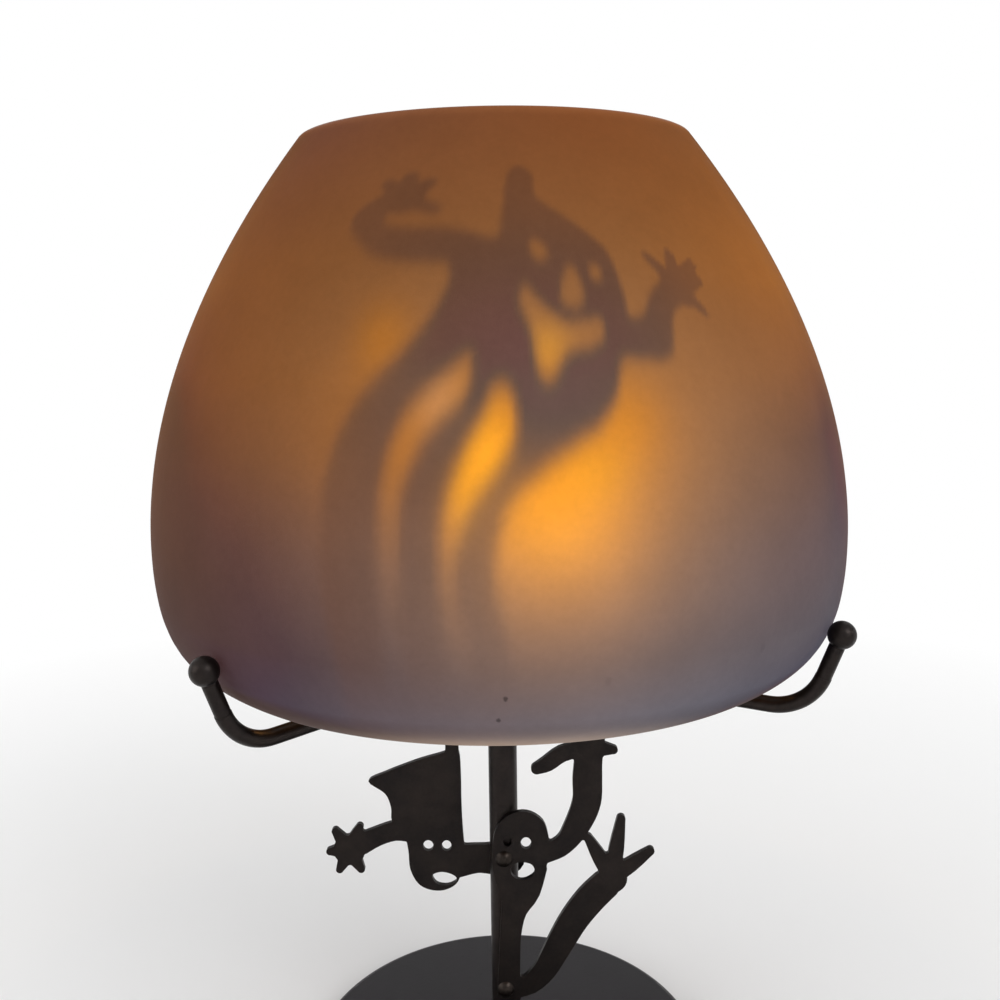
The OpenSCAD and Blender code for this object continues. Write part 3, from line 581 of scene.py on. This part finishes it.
def make_shade(paint):
    """The glass, finer at the front where the painted shadow falls, with its painted glow, painted rim highlights
    and its polished lips stored on it.
    """
    outer, ways = glass_line(176)
    inset = outer + GLASS * np.stack([-ways[:, 1], ways[:, 0]], 1)
    inner = inset[::4]
    if not np.allclose(inner[-1], inset[-1]):
        inner = np.vstack([inner, inset[-1]])
    line = np.vstack([outer, lip(outer[-1], inset[-1]), inner[::-1], lip(inset[0], outer[0])])
    front = np.radians(np.arange(-60, 60, 0.6))
    back = np.radians(np.arange(60, 300, 3.0))
    angles = np.concatenate([front, back])
    made = revolve("shade", line * MM + np.array([0, RIM_Z]), angles, paint)
    count = len(made.data.vertices)
    co = np.zeros(count * 3)
    made.data.vertices.foreach_get("co", co)
    co = co.reshape(-1, 3)
    z = (co[:, 2] - RIM_Z) / MM
    edge = np.maximum(np.clip((0.9 - z) / 1.2, 0, 1), np.clip((z - 130.4) / 1.0, 0, 1))
    made.data.attributes.new("lip", "FLOAT", "POINT").data.foreach_set("value", edge)
    turn = np.arctan2(co[:, 0], -co[:, 1])
    # Painted highlights along the lower rim at the front and along the upper rim
    low_rim_highlight = np.exp(-(np.maximum(z, 0) / 3.6) ** 2) * (1 - 0.88 * soft_step(np.abs(turn - 0.05), 0.05, 0.6))
    high_rim_highlight = np.exp(-((131 - z) / 1.0) ** 2)
    glow = painted_glow_colour(co, flame_reaches(co))
    glow += low_rim_highlight[:, None] * np.array(LOW_RIM) + high_rim_highlight[:, None] * np.array(HIGH_RIM)
    glow = np.hstack([glow, np.ones((count, 1))])
    made.data.attributes.new("glow", "FLOAT_COLOR", "POINT").data.foreach_set("color", glow.ravel())
    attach(made, "shade")
    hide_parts("shade_glass")


# Tea light
def make_wax(paint):
    """Wax with a melted pool, a rim that clings to the shell and a rise round the wick."""
    under = wax_low[2] + 0.6 * MM
    wall = WAX_R - 0.03 * MM
    line = [(0.82 * MM, under), (WAX_R - 0.1 * MM, under), (wall, wax_low[2] + 3 * MM), (wall, WAX_TOP - 0.5 * MM)]
    for r in np.linspace(WAX_R / MM - 0.1, 0.9, 40):
        pool = -0.75 * (1 / (1 + math.exp((r - 13.2) * 2.2)))
        cling = 0.45 * math.exp(-(WAX_R / MM - r) / 0.7)
        rise = 0.6 * math.exp(-(r - 0.9) / 0.8)
        line.append((r * MM, WAX_TOP + (pool + cling + rise - 0.46) * MM))

    def uneven(r, z, a):
        top = z > WAX_TOP - 1.6 * MM
        ring = np.exp(-((r / MM - 13.4) / 1.6) ** 2)
        return r, z + np.where(top, ring * 0.16 * MM * np.sin(3 * a + 0.6) * np.cos(5 * a), 0.0)

    made = revolve("wax", np.array(line), even_turns(96), paint, uneven)
    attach(made, "tea_light")
    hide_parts("tealight_wax")


def make_wick(paint):
    """A braided wick that leans a little and curls at its burnt tip."""
    low, high = wick_low[2], wick_high[2]
    verts, faces = [], []
    rings, sides = 60, 16
    for i in range(rings):
        t = i / (rings - 1)
        z = low + (high - low - 0.5 * MM) * t
        above = max(0.0, (z - WAX_TOP) / (high - WAX_TOP))
        lean = 0.5 * MM * above ** 2.2
        r = 0.66 * MM * (1 - 0.18 * above) * (1 + 0.10 * math.sin(i * 1.7)) * (1.0 if t < 0.97 else 0.6)
        for k in range(sides):
            a = 2 * math.pi * k / sides
            bulge = 1 + 0.14 * math.cos(3 * a + i * 0.9)
            verts.append((lean + r * bulge * math.cos(a), r * bulge * math.sin(a), z))
    for i in range(rings - 1):
        for k in range(sides):
            m = (k + 1) % sides
            faces.append((i * sides + k, i * sides + m, (i + 1) * sides + m, (i + 1) * sides + k))
    faces.append(tuple(range(sides - 1, -1, -1)))
    faces.append(tuple((rings - 1) * sides + k for k in range(sides)))
    made = new_mesh("burnt_wick", verts, faces, paint)
    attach(made, "tea_light")
    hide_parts("tealight_wick")


def make_shell(paint):
    """Drawn aluminium cup: ringed base, a wall with faint draw marks and a rolled edge."""
    low, high = shell_low[2] / MM, shell_high[2] / MM
    r, thick = 19.0, 0.4
    line = [(0.0, low + 0.35), (8.0, low + 0.35), (8.8, low), (15.0, low), (15.6, low + 0.3), (16.6, low + 0.3),
            (17.2, low), (18.2, low), (18.75, low + 0.18), (r - 0.02, low + 0.75), (r, low + 2.0)]
    line += [(r, z) for z in np.linspace(low + 3.0, high - 1.4, 9)]
    line += [(r - 0.2 + 0.4 * math.sin(q), high - 0.4 - 0.4 * math.cos(q)) for q in np.radians(range(40, 251, 30))]
    line += [(r - thick, z) for z in np.linspace(high - 1.4, low + 1.0, 9)]
    line += [(18.2, low + thick + 0.05), (8.6, low + thick), (0.0, low + thick + 0.25)]

    def drawn(rr, zz, a):
        wall = np.clip((rr / MM - 18.4) / 0.2, 0, 1) * np.clip((zz / MM - low - 1) / 2, 0, 1)
        wall *= np.clip((high - 1.0 - zz / MM) / 2, 0, 1)
        ripple = 0.035 * np.cos(72 * a) - 0.035
        return rr + wall * ripple * MM, zz

    made = solid_turn("shell", np.array(line) * MM, even_turns(288), paint, drawn)
    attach(made, "tea_light")
    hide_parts("tealight_shell")


def make_flame(paint):
    """A drop of light round the wick's tip, which leans a little to the right."""
    low, high = (WICK_TOP - 3.2 * MM) / MM, FLAME_TIP / MM
    line = [(0.0, low)]
    for t in np.linspace(0.02, 0.98, 30):
        swell = 3.7 * math.sin(math.pi * t ** 0.72) ** 0.9 * (1 - 0.35 * t)
        line.append((max(swell, 0.05), low + (high - low) * t))
    line.append((0.0, high))
    made = solid_turn("flame", np.array(line) * MM, even_turns(32), paint)
    for v in made.data.vertices:
        up = (v.co.z / MM - low) / (high - low)
        v.co.x += (0.3 + 1.3 * up ** 2) * MM
    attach(made, "tea_light")
    return made


# Rounded edges of CAD nodes that keep their shape, in millimetres
ROUND_OFF = {"base_plate": 0.3, "arm_hub": 0.35, "candle_tray": 0.15, "candle_cup": 0.15, "ghost_bracket": 0.3,
             "ghost_upper": 0.4, "ghost_left": 0.4, "ghost_right": 0.4, "base_felt": 0.3, "cup_screw": 0.2}


def dress(paints):
    for part in frame["record"]["subparts"]:
        name, slot = part["node"], part["material_slot"]
        node = nodes[name]
        node.data.materials.clear()
        node.data.materials.append(paints[slot])
        weld = node.modifiers.new("weld", "WELD")
        weld.merge_threshold = 0.004 * MM
        if name in ROUND_OFF:
            bevel = node.modifiers.new("edge", "BEVEL")
            bevel.width = ROUND_OFF[name] * MM
            bevel.segments = 3
            bevel.limit_method = "ANGLE"
            bevel.angle_limit = math.radians(38)
        normals = node.modifiers.new("normals", "WEIGHTED_NORMAL")
        normals.keep_sharp = True


# Room
WHITE = (1.0, 1.0, 1.0, 1.0)
FLOOR_R = 1.5
CORNER_R = 0.7
WALL_TOP = 1.8
FLOOR_SIDES = 96
FLOOR_TURNS_WHITE = (0.07, 0.5)
ROOM_LIGHT = 0.8


def floor_paint():
    """Pale matte floor, which the camera sees turn white with distance from the lamp."""
    p = Paint("room_floor", Roughness=0.9, Specular_IOR_Level=0.1)
    p.set("Base Color", (0.86, 0.86, 0.86))
    glow = p.node("ShaderNodeEmission")
    glow.inputs["Color"].default_value = WHITE
    blend = p.node("ShaderNodeMixShader")
    camera_ray = p.node("ShaderNodeLightPath").outputs["Is Camera Ray"]
    p.plug(blend.inputs["Fac"], p.math("MULTIPLY", p.span(p.from_axis(), *FLOOR_TURNS_WHITE), camera_ray))
    p.plug(blend.inputs[1], p.shader.outputs["BSDF"])
    p.plug(blend.inputs[2], glow.outputs["Emission"])
    p.plug(p.surface, blend.outputs["Shader"])
    return p.material


def make_floor():
    """A round floor that curves up into a wall."""
    wall_r = FLOOR_R + CORNER_R
    line = [(0.4, 0.0), (0.9, 0.0), (FLOOR_R, 0.0)]
    line += [(FLOOR_R + CORNER_R * math.sin(q), CORNER_R - CORNER_R * math.cos(q))
             for q in np.radians(np.arange(5, 91, 5))]
    line += [(wall_r, 1.2), (wall_r, WALL_TOP)]
    turns = even_turns(FLOOR_SIDES)
    verts = [(0.0, 0.0, 0.0)]
    for r, z in line:
        verts += [(r * math.sin(a), -r * math.cos(a), z) for a in turns]
    faces = []
    for k in range(FLOOR_SIDES):
        m = (k + 1) % FLOOR_SIDES
        faces.append((0, 1 + k, 1 + m))
        for i in range(len(line) - 1):
            low, high = 1 + i * FLOOR_SIDES, 1 + (i + 1) * FLOOR_SIDES
            faces.append((low + k, high + k, high + m, low + m))
    new_mesh("floor", verts, faces, floor_paint())


def make_world():
    """Soft white light from all round; the camera sees plain white."""
    world = bpy.data.worlds.new("room")
    scene.world = world
    world.use_nodes = True
    tree = world.node_tree
    tree.nodes.clear()
    mix = tree.nodes.new("ShaderNodeMixShader")
    path = tree.nodes.new("ShaderNodeLightPath")
    tree.links.new(path.outputs["Is Camera Ray"], mix.inputs["Fac"])
    for slot, strength in ((1, ROOM_LIGHT), (2, 1.0)):
        light = tree.nodes.new("ShaderNodeBackground")
        light.inputs["Color"].default_value = WHITE
        light.inputs["Strength"].default_value = strength
        tree.links.new(light.outputs["Background"], mix.inputs[slot])
    tree.links.new(mix.outputs["Shader"], tree.nodes.new("ShaderNodeOutputWorld").inputs["Surface"])


def make_panel(name, place, size, power):
    """A square soft light that faces the lamp."""
    data = bpy.data.lights.new(name, "AREA")
    data.shape = "SQUARE"
    data.size = size
    data.energy = power
    lamp = bpy.data.objects.new(name, data)
    lamp.location = place
    way = Vector((0, 0, 0.14)) - Vector(place)
    lamp.rotation_euler = way.to_track_quat("-Z", "Y").to_euler()
    scene.collection.objects.link(lamp)


def make_flame_lamp(flame):
    """The flame's own warm light on the tray, the cup and the inside of the glass."""
    data = bpy.data.lights.new("flame_lamp", "POINT")
    data.energy = 0.05
    data.shadow_soft_size = 3 * MM
    data.color = (1.0, 0.55, 0.2)
    lamp = bpy.data.objects.new("flame_lamp", data)
    lamp.location = (1.0 * MM, 0.0, FLAME_TIP + 4 * MM)
    scene.collection.objects.link(lamp)
    lamp.parent = flame


make_camera()
paints = make_materials()
paints["frosted_glass"] = frosted_glass()
dress(paints)
make_shade(paints["frosted_glass"])
make_wax(paints["wax"])
make_wick(paints["wick"])
make_shell(paints["tin"])
make_flame_lamp(make_flame(flame_paint()))
scene.view_settings.view_transform = "Standard"
make_floor()
make_world()
make_panel("key", (0.9, -1.0, 1.1), 0.8, 9.0)
make_panel("fill", (-1.2, -0.5, 0.7), 0.9, 4.0)
